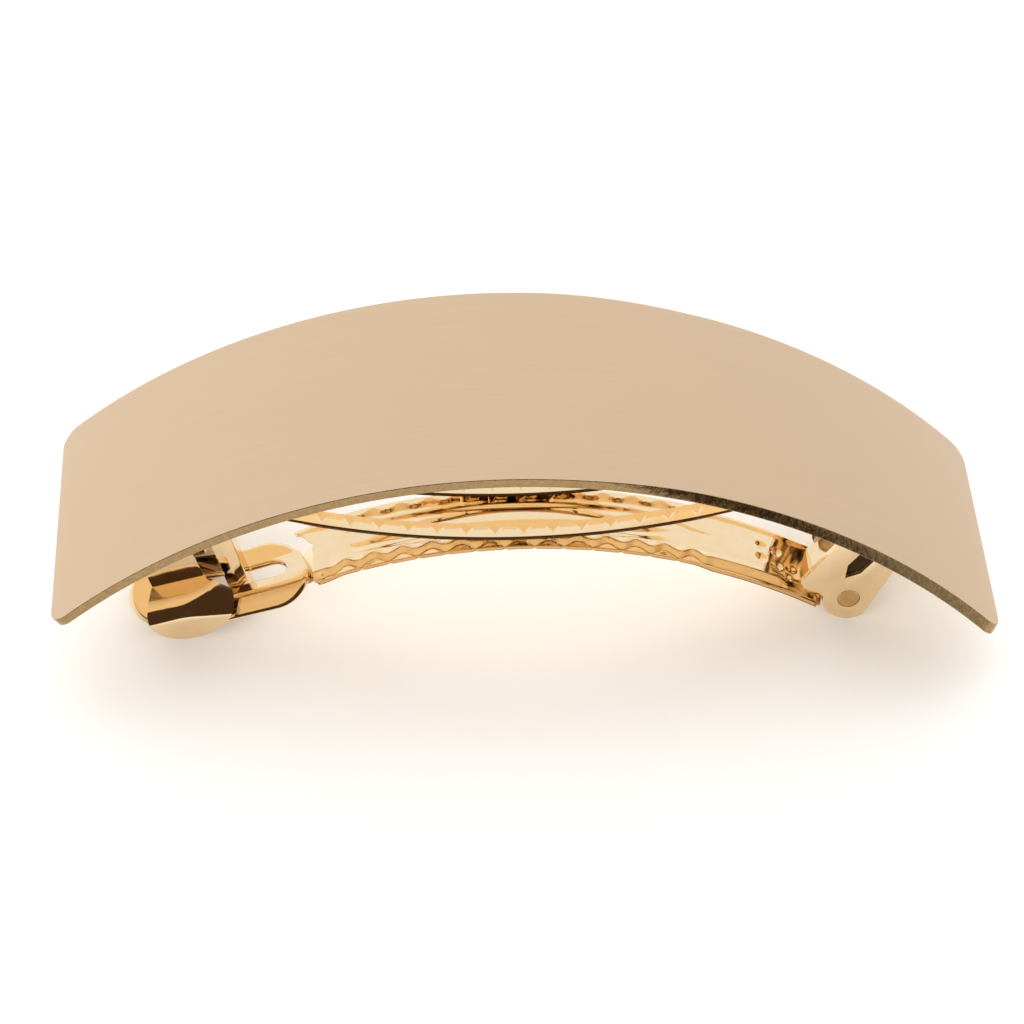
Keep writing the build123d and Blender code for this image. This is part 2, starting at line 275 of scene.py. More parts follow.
def bevel(
    part: Mesh, geom: list, offset: float, steps: int, what: Rounded, clamp: bool = False
) -> None:
    """Round edges or corners of a mesh.

    Args:
        part: The mesh.
        geom: Its edges or corners to round.
        offset: How far the rounding reaches from them.
        steps: Faces across the rounding.
        what: Whether edges or corners are given.
        clamp: Whether roundings stop where they meet.
    """
    bmesh.ops.bevel(
        part,
        geom=geom,
        offset=offset,
        offset_type="OFFSET",
        segments=steps,
        profile=0.5,
        affect=what.value,
        material=-1,
        clamp_overlap=clamp,
    )


def shares(point: Vector) -> Pair:
    """Shares along and across a grid that spans -1 to 1 both ways."""
    return (point.x + 1.0) / 2.0, (point.y + 1.0) / 2.0


def laid(
    columns: int, rows: int, place: Place, spare: Callable[[float, float], bool] | None = None
) -> Mesh:
    """Lay an open sheet in place.

    Args:
        columns: Faces along the sheet.
        rows: Faces across the sheet.
        place: Point of the outer face for two shares, along and across.
        spare: Whether the face at two such shares is left out.

    Returns:
        The open sheet.
    """
    part = bmesh.new()
    bmesh.ops.create_grid(part, x_segments=columns, y_segments=rows, size=1.0)
    if spare:
        unwanted = [f for f in part.faces if spare(*shares(f.calc_center_median()))]
        bmesh.ops.delete(part, geom=unwanted, context="FACES")
    for vertex in part.verts:
        vertex.co = place(*shares(vertex.co))
    return part


def thickened(part: Mesh, thickness: float) -> Mesh:
    """Close an open sheet with an inner face at an even distance.

    Args:
        part: Sheet whose faces point out of its outer side.
        thickness: Distance of the inner face.

    Returns:
        The same mesh, closed.
    """
    bmesh.ops.remove_doubles(part, verts=part.verts, dist=WELD)
    part.normal_update()
    bmesh.ops.solidify(part, geom=part.faces[:], thickness=thickness)
    bmesh.ops.recalc_face_normals(part, faces=part.faces)
    return part


def rolled(distance: float, radius: float) -> float:
    """How far a rounded rim lies below the face, at a distance from the edge."""
    inside = min(radius, max(0.0, distance))
    return radius - sqrt(radius**2 - (radius - inside) ** 2)


def chamfered(distance: float, width: float, drop: float) -> float:
    """How far a flat chamfer lies below the face, at a distance from the edge."""
    return drop * max(0.0, 1.0 - max(0.0, distance) / width)


def rim_spread(share: float, width: float, rim: float, rows: int) -> float:
    """Spread the rows of a sheet so that a few of them round each rim.

    Args:
        share: Even share from 0 to 1 across the sheet.
        width: Width of the sheet.
        rim: Radius of the rounded rim.
        rows: Rows of faces across the sheet.

    Returns:
        Distance from the first edge.
    """
    row = share * rows
    if row > rows / 2.0:
        return width - rim_spread(1.0 - share, width, rim, rows)
    if row < RIM_ROWS:
        return rim * (1.0 - cos(row / RIM_ROWS * pi / 2.0))
    return mix(rim, width / 2.0, (row - RIM_ROWS) / (rows / 2.0 - RIM_ROWS))


def linear(hex_colour: str) -> tuple[float, float, float, float]:
    """Turn an sRGB hex colour such as "#ffcc88" to linear values.

    Args:
        hex_colour: The colour.

    Returns:
        Linear red, green and blue with full alpha.
    """
    values = [int(hex_colour[i : i + 2], 16) / 255.0 for i in (1, 3, 5)]
    turned = [v / 12.92 if v <= 0.04045 else ((v + 0.055) / 1.055) ** 2.4 for v in values]
    return (turned[0], turned[1], turned[2], 1.0)


def new_tree(owner: bpy.types.Material | bpy.types.World) -> bpy.types.NodeTree:
    """Give a material or the world an empty node tree.

    Args:
        owner: The material or the world.

    Returns:
        Its node tree.
    """
    owner.use_nodes = True
    owner.node_tree.nodes.clear()
    return owner.node_tree


def add_node(
    tree: bpy.types.NodeTree, kind: str, inputs: dict | None = None, settings: dict | None = None
) -> bpy.types.Node:
    """Add one node with its values, links and settings.

    Args:
        tree: Node tree that it goes into.
        kind: Blender's name of the node type.
        inputs: Value, or output socket to link, for each input by name or index.
        settings: Attributes of the node.

    Returns:
        The new node.
    """
    node = tree.nodes.new(kind)
    for key, value in (settings or {}).items():
        setattr(node, key, value)
    for key, value in (inputs or {}).items():
        if isinstance(value, bpy.types.NodeSocket):
            tree.links.new(value, node.inputs[key])
        else:
            node.inputs[key].default_value = value
    return node


@dataclass(frozen=True)
class GoldFinish:
    """Gold plate on pressed metal, with the grain of how its surface was made.

    The grain holds the size in millimetres of the marks along X, Y and Z, and the wave is the size
    of the soft swell under them. Detail and breaking say how fine both patterns get, and the span
    holds the values that most of a pattern lies between.
    """

    name: str
    bright: str
    deep: str
    roughness: float
    roughness_spread: float
    grain: Triple
    grain_depth: float
    wave: float
    wave_depth: float
    metal: float = 1.0
    grain_detail: float = 4.0
    grain_breaking: float = 0.6
    wave_detail: float = 2.0
    pattern_span: Pair = (0.3, 0.7)

    def material(self) -> bpy.types.Material:
        """Build the material, once for all the pieces that share it.

        Returns:
            The material.
        """
        made = bpy.data.materials.get(self.name)
        if made is not None:
            return made
        made = bpy.data.materials.new(self.name)
        tree = new_tree(made)
        where = add_node(tree, "ShaderNodeTexCoord").outputs["Object"]
        size = tuple(1.0 / (g * MM) for g in self.grain)
        scaled = add_node(tree, "ShaderNodeMapping", {"Vector": where, "Scale": size})
        grain = add_node(
            tree,
            "ShaderNodeTexNoise",
            {
                "Vector": scaled.outputs[0],
                "Scale": 1.0,
                "Detail": self.grain_detail,
                "Roughness": self.grain_breaking,
            },
        ).outputs["Fac"]
        swell = add_node(
            tree,
            "ShaderNodeTexNoise",
            {"Vector": where, "Scale": 1.0 / (self.wave * MM), "Detail": self.wave_detail},
        ).outputs["Fac"]
        colour = add_node(
            tree,
            "ShaderNodeMix",
            {"Factor": grain, "A": linear(self.deep), "B": linear(self.bright)},
            {"data_type": "RGBA"},
        )
        polish = add_node(
            tree,
            "ShaderNodeMapRange",
            {
                "Value": grain,
                "From Min": self.pattern_span[0],
                "From Max": self.pattern_span[1],
                "To Min": self.roughness - self.roughness_spread,
                "To Max": self.roughness + self.roughness_spread,
            },
        )
        swelling = add_node(
            tree,
            "ShaderNodeBump",
            {"Height": swell, "Strength": 1.0, "Distance": self.wave_depth * MM},
        )
        scratches = add_node(
            tree,
            "ShaderNodeBump",
            {
                "Height": grain,
                "Strength": 1.0,
                "Distance": self.grain_depth * MM,
                "Normal": swelling.outputs["Normal"],
            },
        )
        shader = add_node(
            tree,
            "ShaderNodeBsdfPrincipled",
            {
                "Base Color": colour.outputs["Result"],
                "Metallic": self.metal,
                "Roughness": polish.outputs["Result"],
                "Normal": scratches.outputs["Normal"],
            },
        )
        add_node(tree, "ShaderNodeOutputMaterial", {"Surface": shader.outputs["BSDF"]})
        return made


# Brushed plating under a satin lacquer scatters light, so the plate keeps one soft even tone with
# fine streaks.
BRUSHED_PLATE = GoldFinish(
    name="brushed_pale_gold_plating",
    bright="#cfb596",
    deep="#c5a98a",
    roughness=0.42,
    roughness_spread=0.05,
    grain=(14.0, 0.35, 14.0),
    grain_depth=0.004,
    wave=22.0,
    wave_depth=0.02,
    metal=0.45,
)

# Barrel-polished plating is close to a mirror, with the slight swell that stamping leaves in thin
# sheet.
POLISHED_CLIP = GoldFinish(
    name="polished_gold_plating",
    bright="#f6dfba",
    deep="#efd2a4",
    roughness=0.09,
    roughness_spread=0.03,
    grain=(1.6, 1.6, 1.6),
    grain_depth=0.002,
    wave=3.5,
    wave_depth=0.012,
)

# Painted shade and reflection: the faces of the pressed dart get a dull dark brown that stands in
# for the dark room that the groove would mirror, so the groove looks black.
GROOVE_PAINTED_SHADE = GoldFinish(
    name="pressed_groove_painted_shade",
    bright="#4d3a26",
    deep="#2a1f15",
    roughness=0.3,
    roughness_spread=0.12,
    grain=(0.5, 0.5, 0.5),
    grain_depth=0.03,
    wave=2.0,
    wave_depth=0.05,
)

# Painted shade: the ends of the rivet get a darker gold with a softer shine, which stands in for
# the darker reflection that the dished ends show.
RIVET_END_PAINTED_SHADE = GoldFinish(
    name="rivet_end_painted_shade",
    bright="#dfbd85",
    deep="#b98f55",
    roughness=0.24,
    roughness_spread=0.08,
    grain=(0.9, 0.9, 0.9),
    grain_depth=0.015,
    wave=1.4,
    wave_depth=0.05,
)

# A sheared edge is torn metal under thin plating: duller, darker and finely pitted.
SHEARED_EDGE = GoldFinish(
    name="plated_sheared_edge",
    bright="#bb9d70",
    deep="#7c6344",
    roughness=0.26,
    roughness_spread=0.08,
    grain=(0.5, 0.5, 0.5),
    grain_depth=0.05,
    wave=4.0,
    wave_depth=0.05,
)


@dataclass
class CoverPlate:
    """The brushed plate that shows when the barrette is worn.

    Its long edges lean in below, more from the turn to the right end, so that the cut edge shows.
    """

    radius: float = 68.9
    length: float = 108.0
    width: float = 31.0
    thickness: float = 0.9
    turn: float = radians(3.0)
    corner: float = 2.2
    corner_steps: int = 12
    rim: float = 0.07
    rim_steps: int = 5
    edge_lean: float = 0.3
    edge_lean_right: float = 1.0
    edge_lean_end: float = 0.7
    edge_turn: float = 10.0
    edge_turn_half: float = 8.0
    top: float = 28.4
    slices: int = 260
    level: float = 1e-6

    @property
    def half_angle(self) -> float:
        """Half the angle that the plate spans."""
        return self.length / 2.0 / self.radius

    @property
    def centre(self) -> Pair:
        """Axis of the plate in the XZ plane."""
        return (0.0, self.top - self.radius)

    @property
    def shift(self) -> float:
        """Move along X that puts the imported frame's origin under the plate's middle."""
        ends = [sin(self.turn + side * self.half_angle) * self.radius for side in (-1.0, 1.0)]
        return -(ends[0] + ends[1]) / 2.0

    def blank(self) -> Mesh:
        """Cut the flat plate, its outer face at z = 0, with round corners and rolled rims.

        Returns:
            The closed mesh, with its sides and underside marked for their own finishes.
        """
        part = bmesh.new()
        bmesh.ops.create_grid(part, x_segments=1, y_segments=1, size=0.5)
        bmesh.ops.scale(part, verts=part.verts, vec=Vector((self.length, self.width, 1.0)))
        bevel(part, part.verts[:], self.corner, self.corner_steps, Rounded.CORNERS)
        raised = bmesh.ops.extrude_face_region(part, geom=part.faces[:])["geom"]
        lower = [v for v in raised if isinstance(v, bmesh.types.BMVert)]
        bmesh.ops.translate(part, verts=lower, vec=Vector((0.0, 0.0, -self.thickness)))
        bmesh.ops.recalc_face_normals(part, faces=part.faces)
        rims = [e for e in part.edges if abs(e.verts[0].co.z - e.verts[1].co.z) < self.level]
        bevel(part, rims, self.rim, self.rim_steps, Rounded.EDGES)
        part.normal_update()
        for face in part.faces:
            upright = abs(face.normal.z) < UPRIGHT
            face.material_index = 1 if upright else 2 * int(face.normal.z < 0.0)
        return part

    def lean(self, x: float) -> float:
        """Find how far both long edges together lean in.

        Args:
            x: Place along the flat plate.

        Returns:
            The lean in millimetres.
        """
        turn, half = self.edge_turn, self.edge_turn_half
        both = mix(self.edge_lean, self.edge_lean_right, smooth(turn - half, turn + half, x))
        return both + self.edge_lean_end * smooth(turn, self.length / 2.0, x)

    def build(self) -> bpy.types.Object:
        """Bend the blank round its axis and dress it.

        Returns:
            The finished plate.
        """
        part = self.blank()
        for index in range(1, self.slices):
            x = self.length * (index / self.slices - 0.5)
            bmesh.ops.bisect_plane(
                part,
                geom=part.verts[:] + part.edges[:] + part.faces[:],
                plane_co=Vector((x, 0.0, 0.0)),
                plane_no=Vector((1.0, 0.0, 0.0)),
            )
        for vertex in part.verts:
            x, y, z = vertex.co
            y *= 1.0 - self.lean(x) / self.width * (1.0 + z / self.thickness)
            spot = on_circle(self.centre, self.radius + z, self.turn + x / self.radius)
            vertex.co = Vector((spot.x, y, spot.y))
        work = Metalwork("cover_plate")
        work.add(part)
        finishes = (BRUSHED_PLATE, SHEARED_EDGE, POLISHED_CLIP)
        return work.finish(Body.FRAME, "plate", self.shift, *finishes)


@dataclass(frozen=True)
class BarUnderside:
    """The curved underside of the base bar, which the bow and the catch reach up to."""

    radius: float = 67.1
    centre: Pair = (0.0, -40.5)

    def distance(self, start: Vector, way: Vector, inset: float) -> float:
        """Measure from a point below the bar up to it.

        Args:
            start: The point in the XZ plane.
            way: Unit vector of the line that is followed.
            inset: How far under the bar the line ends.

        Returns:
            The distance along the line.
        """
        offset = start - Vector(self.centre)
        along = offset.dot(way)
        return sqrt((self.radius - inset) ** 2 - offset.length_squared + along**2) - along


UNDERSIDE = BarUnderside()


@dataclass
class BaseBar:
    """The bar under the plate whose ears carry the hinge pin.

    The dart is pressed into each ear between two distances from the middle plane, and its faces get
    painted shade.
    """

    edge_round: float = 0.1
    round_steps: int = 2
    dart_between: Pair = (4.95, 5.5)
    dart_press: float = 0.12
    weld: float = 1e-4
    flat_angle: float = radians(0.4)
    sharp_angle: float = radians(35.0)

    def build(self) -> bpy.types.Object:
        """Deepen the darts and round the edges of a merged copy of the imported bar.

        Returns:
            The finished bar.
        """
        part = bmesh.new()
        part.from_mesh(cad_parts["base_bar"].data)
        bmesh.ops.scale(part, verts=part.verts, vec=Vector((1.0 / MM,) * 3))
        bmesh.ops.remove_doubles(part, verts=part.verts, dist=self.weld)
        near, far = self.dart_between
        pressed_in = {v for v in part.verts if near < abs(v.co.y) < far}
        for vertex in pressed_in:
            vertex.co.y += self.dart_press if vertex.co.y < 0.0 else -self.dart_press
        # The faces of the pressed dart get the painted-shade material.
        for face in part.faces:
            face.material_index = int(all(v in pressed_in for v in face.verts))
        bmesh.ops.dissolve_limit(
            part,
            angle_limit=self.flat_angle,
            verts=part.verts,
            edges=part.edges,
            delimit={"MATERIAL"},
        )
        sharp = sharp_edges(part, self.sharp_angle)
        bevel(part, sharp, self.edge_round, self.round_steps, Rounded.EDGES, clamp=True)
        work = Metalwork("hinge_bar")
        work.add(part)
        return work.finish(Body.FRAME, "base_bar", 0.0, POLISHED_CLIP, GROOVE_PAINTED_SHADE)


@dataclass
class HingePin:
    """The rivet through the ears and the arm."""

    shift: float
    place: Triple = (36.55, 0.0, 2.75)
    radius: float = 1.15
    half_length: float = 5.6
    sides: int = 64
    dish: float = 0.12
    dish_steps: int = 3
    inset_share: float = 0.4
    sink_share: float = 0.5

    @staticmethod
    def caps(part: Mesh) -> list[bmesh.types.BMFace]:
        """The two end faces of the rod, which alone have more than four corners."""
        return [f for f in part.faces if len(f.verts) > 4]

    def build(self) -> bpy.types.Object:
        """Turn a rod with eased, slightly dished ends.

        Returns:
            The finished pin.
        """
        part = bmesh.new()
        bmesh.ops.create_cone(
            part,
            cap_ends=True,
            cap_tris=False,
            segments=self.sides,
            radius1=self.radius,
            radius2=self.radius,
            depth=2.0 * self.half_length,
        )
        rims = [e for f in self.caps(part) for e in f.edges]
        bevel(part, rims, self.dish, self.dish_steps, Rounded.EDGES)
        for cap in self.caps(part):
            sink = self.dish * self.sink_share
            if cap.calc_center_median().z > 0.0:
                sink = -sink
            bmesh.ops.inset_region(part, faces=[cap], thickness=self.radius * self.inset_share)
            bmesh.ops.translate(part, verts=cap.verts, vec=Vector((0.0, 0.0, sink)))
        part.normal_update()
        # The flat end faces get the rivet-end material, whose darker gold is painted shade.
        for face in part.faces:
            face.material_index = int(abs(face.normal.z) > UPRIGHT)
        across = Matrix.Rotation(radians(90.0), 4, "X")
        bmesh.ops.transform(
            part, verts=part.verts, matrix=Matrix.Translation(self.place) @ across
        )
        work = Metalwork("hinge_rivet")
        work.add(part)
        return work.finish(Body.FRAME, "hinge_pin", self.shift, POLISHED_CLIP, RIVET_END_PAINTED_SHADE)


@dataclass
class SwingArm:
    """The long pressed strip with its ring, which turns on the hinge pin.

    A run is a distance along the strip from its highest point, and a side is a distance across
    from its middle line. The ring's reach is counted along X from its tip.
    """

    shift: float
    centre: Pair = (2.0, -49.75)
    radius: float = 60.0
    sheet: float = 0.5
    rise: float = 0.5
    rim: float = 0.06
    bend: float = 0.35

    strip_grid: tuple[int, int] = (400, 84)
    half_width: float = 4.7
    left: float = -19.6
    right: float = 34.1
    corner: float = 0.25
    shoulder: float = 2.6
    shoulder_from: float = 1.0
    shoulder_run: float = 5.0
    channel_half: float = 2.2
    channel_depth: float = 0.3
    channel_wall: float = 0.9
    channel_crown: float = 0.8
    channel_left: float = -16.8
    channel_right: float = 25.0
    channel_taper: float = 12.0
    wave_pitch: float = 3.07
    wave_reach: float = 19.9
    wave_fade: float = 1.5
    wave_half: float = 0.38
    rib_at: float = 3.6
    rib_foot: float = 2.6
    rib_round: float = 0.1
    rib_height: float = 0.32
    rib_end_share: float = 0.35
    flank_slope: float = 0.85
    lip_drop: float = 0.2
    end_drop: float = 0.35
    # Plain dimples: run, side and radius of each, from the middle of the cluster.
    dimple_at: Pair = (29.2, -0.9)
    dimple_spots: tuple[Triple, ...] = (
        (-1.6, 1.7, 0.85),
        (0.3, 1.5, 0.8),
        (-1.7, -0.2, 0.75),
        (0.2, -0.8, 0.85),
        (1.9, -0.4, 0.75),
        (1.2, -2.1, 0.8),
    )
    dimple_depth: float = 0.22

    pin: Pair = (36.55, 2.75)
    barrel_grid: tuple[int, int] = (120, 8)
    barrel_radius: float = 1.9
    barrel_half: float = 3.2
    barrel_sheet: float = 0.6
    barrel_lap: float = 1.2
    barrel_sink: float = 0.1
    barrel_curl: Pair = (radians(-30.0), radians(280.0))

    ring_grid: tuple[int, int] = (300, 30)
    ring_radius: float = 46.0
    ring_tip: Pair = (-38.6, 1.35)
    ring_right: float = -20.7
    ring_half: float = 4.8
    ring_far_half: float = 4.2
    ring_tip_round: float = 4.3
    ring_root_round: float = 3.6
    ring_flat_reach: Pair = (1.0, 4.0)
    ring_lift: float = 0.15
    ring_lift_reach: Pair = (2.0, 14.0)
    ring_roll: float = 0.45
    ring_roll_reach: Pair = (4.0, 14.0)
    ring_lean: float = 0.13
    ring_near_lean: float = 0.065
    ring_near_width: float = 1.4
    ring_drop: float = 1.25
    ring_drop_between: Pair = (2.9, 5.5)
    ring_skew: float = 0.26
    ring_skew_from: float = -31.0
    ring_search: float = 20.0
    ring_halvings: int = 24
    hole_half: float = 1.9
    hole_left: float = -36.1
    hole_right: float = -22.0

    neck_grid: tuple[int, int] = (60, 30)
    neck_half: Pair = (1.9, 2.4)
    neck_shift: Pair = (0.8, 1.9)
    neck_laps: Pair = (1.0, 0.9)
    neck_corner: float = 0.1
    neck_sink: float = 0.05

    @property
    def top(self) -> float:
        """Radius of the arm's upper face."""
        return self.radius + self.rise

    def along(self, x: float) -> float:
        """Run of a place on X."""
        return self.top * asin((x - self.centre[0]) / self.top)

    def below(self, x: float, depth: float) -> Vector:
        """Point at a depth under the strip's upper face, for a place on X."""
        return on_circle(self.centre, self.top - depth, self.along(x) / self.top)

    def channel(self, run: float, side: float) -> float:
        """Press the trough along the middle of the strip.

        Args:
            run: Distance along the strip.
            side: Distance across it.

        Returns:
            Share of the depth, from 0 outside the trough to 1 at its lowest line.
        """
        left = self.along(self.channel_left) + self.channel_half
        right = self.along(self.channel_right)
        half = self.channel_half * (1.0 - smooth(right - self.channel_taper, right, run))
        inside = half - hypot(max(left - run, 0.0), side)
        crown = 1.0 - self.channel_crown * (1.0 - (side / self.channel_half) ** 2)
        return crown * smooth(0.0, self.channel_wall, inside)

    def relief(self, run: float, side: float) -> float:
        """Press the whole pattern of the strip.

        Args:
            run: Distance along the strip.
            side: Distance across it.

        Returns:
            Height over the strip's plain face, negative where it is pressed down.
        """
        far = abs(side)
        fade = (self.wave_reach - self.wave_fade, self.wave_reach + self.wave_fade)
        inside = 1.0 - smooth(*fade, abs(run))
        wave = cos(2.0 * pi * run / self.wave_pitch) * inside
        crest = self.rib_at + (self.wave_half if side > 0.0 else -self.wave_half) * wave
        rib = self.rib_height * mix(self.rib_end_share, 1.0, inside)
        if far < crest:
            height = rib * smooth(self.rib_foot, crest + self.rib_round, far)
        else:
            height = rib - self.flank_slope * (far - crest)
            height = max(height, -self.lip_drop - self.end_drop * (1.0 - inside))
        height -= self.channel_depth * self.channel(run, side)
        height -= self.dimples(run, side)
        end = min(run - self.along(self.left), self.along(self.right) - run)
        return height - rolled(min(self.half_width - far, end), self.rim)

    def dimples(self, run: float, side: float) -> float:
        """Press the plain round dimples near the hinge.

        Args:
            run: Distance along the strip.
            side: Distance across it.

        Returns:
            Depth in millimetres.
        """
        ahead, aside = run - self.along(self.dimple_at[0]), side - self.dimple_at[1]
        depth = 0.0
        for x, y, radius in self.dimple_spots:
            away = hypot(ahead - x, aside - y)
            if away < radius:
                depth += self.dimple_depth * (1.0 - (away / radius) ** 2) ** 2
        return depth

    def strip(self) -> Mesh:
        """Press the arched strip, with its pattern and rounded corners.

        Returns:
            The closed mesh.
        """
        start, end = self.along(self.left), self.along(self.right)
        wing_width = self.half_width - self.shoulder_from

        def place(u: float, v: float) -> Vector:
            """Point of the strip, whose left end is slanted by the wing on its far side.

            Args:
                u: Share along the strip.
                v: Share across it.

            Returns:
                The point.
            """
            run = mix(start, end, u)
            over = max(0.0, self.corner - min(run - start, end - run))
            half = self.half_width - self.corner + sqrt(max(0.0, self.corner**2 - over**2))
            side = rim_spread(v, 2.0 * half, self.rim, self.strip_grid[1]) - half
            wing = self.shoulder * max(0.0, side - self.shoulder_from) / wing_width
            near_end = 1.0 - smooth(0.0, self.shoulder_run, run - start)
            turn = (run - wing * near_end) / self.top
            spot = on_circle(self.centre, self.top + self.relief(run, side), turn)
            return Vector((spot.x, side, spot.y))

        return thickened(laid(*self.strip_grid, place), self.sheet)

    def barrel(self) -> Mesh:
        """Curl the tongue that leaves the strip round the pin.

        Returns:
            The closed mesh.
        """
        leave = self.below(self.right - self.barrel_lap, self.barrel_sink)
        curl = arc(self.pin, self.barrel_radius, *self.barrel_curl)
        route = Route([leave, *curl], self.bend)

        def place(u: float, v: float) -> Vector:
            """Point of the barrel, along its curl and across it.

            Args:
                u: Share along the curl.
                v: Share across.

            Returns:
                The point.
            """
            spot = route.point(route.length * u)
            return Vector((spot.x, mix(-self.barrel_half, self.barrel_half, v), spot.y))

        return thickened(laid(*self.barrel_grid, place), self.barrel_sheet)

    def ring_face(self, x: float, side: float) -> float:
        """Find the ring's upper face.

        Its far rail leans a little to the slot and the near one rolls down to its outer edge.

        Args:
            x: Place along X.
            side: Place across.

        Returns:
            Height over the standing surface.
        """
        reach = x - self.ring_tip[0]
        base = self.ring_tip[1] + self.ring_radius - sqrt(self.ring_radius**2 - reach**2)
        height = base + self.ring_lift * smooth(*self.ring_lift_reach, reach)
        aside = min(1.0, max(-1.0, side / self.hole_half))
        height -= self.ring_roll * aside * smooth(*self.ring_roll_reach, reach)
        if side > 0.0:
            height += self.ring_lean * max(0.0, side - self.hole_half)
        else:
            rail = min(self.ring_near_width, max(0.0, -side - self.hole_half))
            height += self.ring_near_lean * rail
            height -= self.ring_drop * smooth(*self.ring_drop_between, -side)
        plain = base + self.ring_lean * side
        return mix(plain, height, smooth(*self.ring_flat_reach, reach))

    def outside(self, point: Vector) -> bool:
        """Test the plan of the ring.

        Args:
            point: Point of the plan.

        Returns:
            Whether it lies outside the ring's outer edge.
        """
        middle = (self.ring_right + self.ring_tip[0]) / 2.0
        round_off = self.ring_tip_round if point.x < middle else self.ring_root_round
        half = self.ring_far_half if point.y > 0.0 else self.ring_half
        round_off = min(round_off, half)
        over_x = abs(point.x - middle) - ((self.ring_right - self.ring_tip[0]) / 2.0 - round_off)
        over_y = abs(point.y) - (half - round_off)
        inner = min(max(over_x, over_y), 0.0)
        return hypot(max(over_x, 0.0), max(over_y, 0.0)) + inner > round_off

    def ring(self) -> Mesh:
        """Press the oval loop that closes over the catch.

        Returns:
            The closed mesh.
        """
        left = self.hole_left + self.hole_half
        right = self.hole_right - self.hole_half
        run, turn = right - left, pi * self.hole_half
        around = 2.0 * (run + turn)
        rows = self.ring_grid[1]

        def place(u: float, v: float) -> Vector:
            """Point of the ring, round its slot and out from the slot's edge.

            Args:
                u: Share round the slot.
                v: Share out from the slot's edge.

            Returns:
                The point.
            """
            distance = (u % 1.0) * around
            if distance < run:
                x, angle = left + distance, -pi / 2.0
            elif distance < run + turn:
                x, angle = right, (distance - run) / self.hole_half - pi / 2.0
            elif distance < 2.0 * run + turn:
                x, angle = right - (distance - run - turn), pi / 2.0
            else:
                x, angle = left, (distance - 2.0 * run - turn) / self.hole_half + pi / 2.0
            base, way = Vector((x, 0.0)), Vector((cos(angle), sin(angle)))
            reach = crossing(
                0.0,
                self.ring_search,
                lambda out: not self.outside(base + way * out),
                self.ring_halvings,
            )[0]
            width = reach - self.hole_half
            out = rim_spread(v, width, self.rim, rows)
            spot = base + way * (self.hole_half + out)
            height = self.ring_face(spot.x, spot.y) - rolled(min(out, width - out), self.rim)
            skew = self.ring_skew * spot.y * smooth(self.ring_skew_from, self.ring_right, spot.x)
            return Vector((spot.x - skew, spot.y, height))

        return thickened(laid(*self.ring_grid, place), self.sheet)

    def neck(self) -> Mesh:
        """Fold the steep tongue between the strip and the sunk ring.

        Returns:
            The closed mesh.
        """
        foot_x = self.ring_right - self.neck_laps[0]
        foot = Vector((foot_x, self.ring_face(foot_x, 0.0)))
        low_height = self.ring_face(self.ring_right, 0.0) - self.neck_sink
        low = Vector((self.ring_right - self.neck_corner, low_height))
        high = self.below(self.left + self.neck_corner, self.neck_sink)
        head = self.below(self.left + self.neck_laps[1], self.neck_sink)
        route = Route([foot, low, high, head], self.bend)
        rows = self.neck_grid[1]

        def place(u: float, v: float) -> Vector:
            """Point of the neck, up from the ring and across.

            Args:
                u: Share up from the ring.
                v: Share across.

            Returns:
                The point.
            """
            spot = route.point(route.length * u)
            half = mix(*self.neck_half, u)
            side = rim_spread(v, 2.0 * half, self.rim, rows) - half
            height = spot.y - rolled(half - abs(side), self.rim)
            side -= mix(*self.neck_shift, u)
            return Vector((spot.x - self.ring_skew * side * (1.0 - u), side, height))

        return thickened(laid(*self.neck_grid, place), self.sheet)

    def build(self) -> bpy.types.Object:
        """Join strip, barrel, ring and neck and dress them.

        Returns:
            The finished arm.
        """
        work = Metalwork("swing_arm")
        for part in (self.strip(), self.barrel(), self.ring(), self.neck()):
            work.add(part)
        return work.finish(Body.ARM, "arm", self.shift, POLISHED_CLIP)


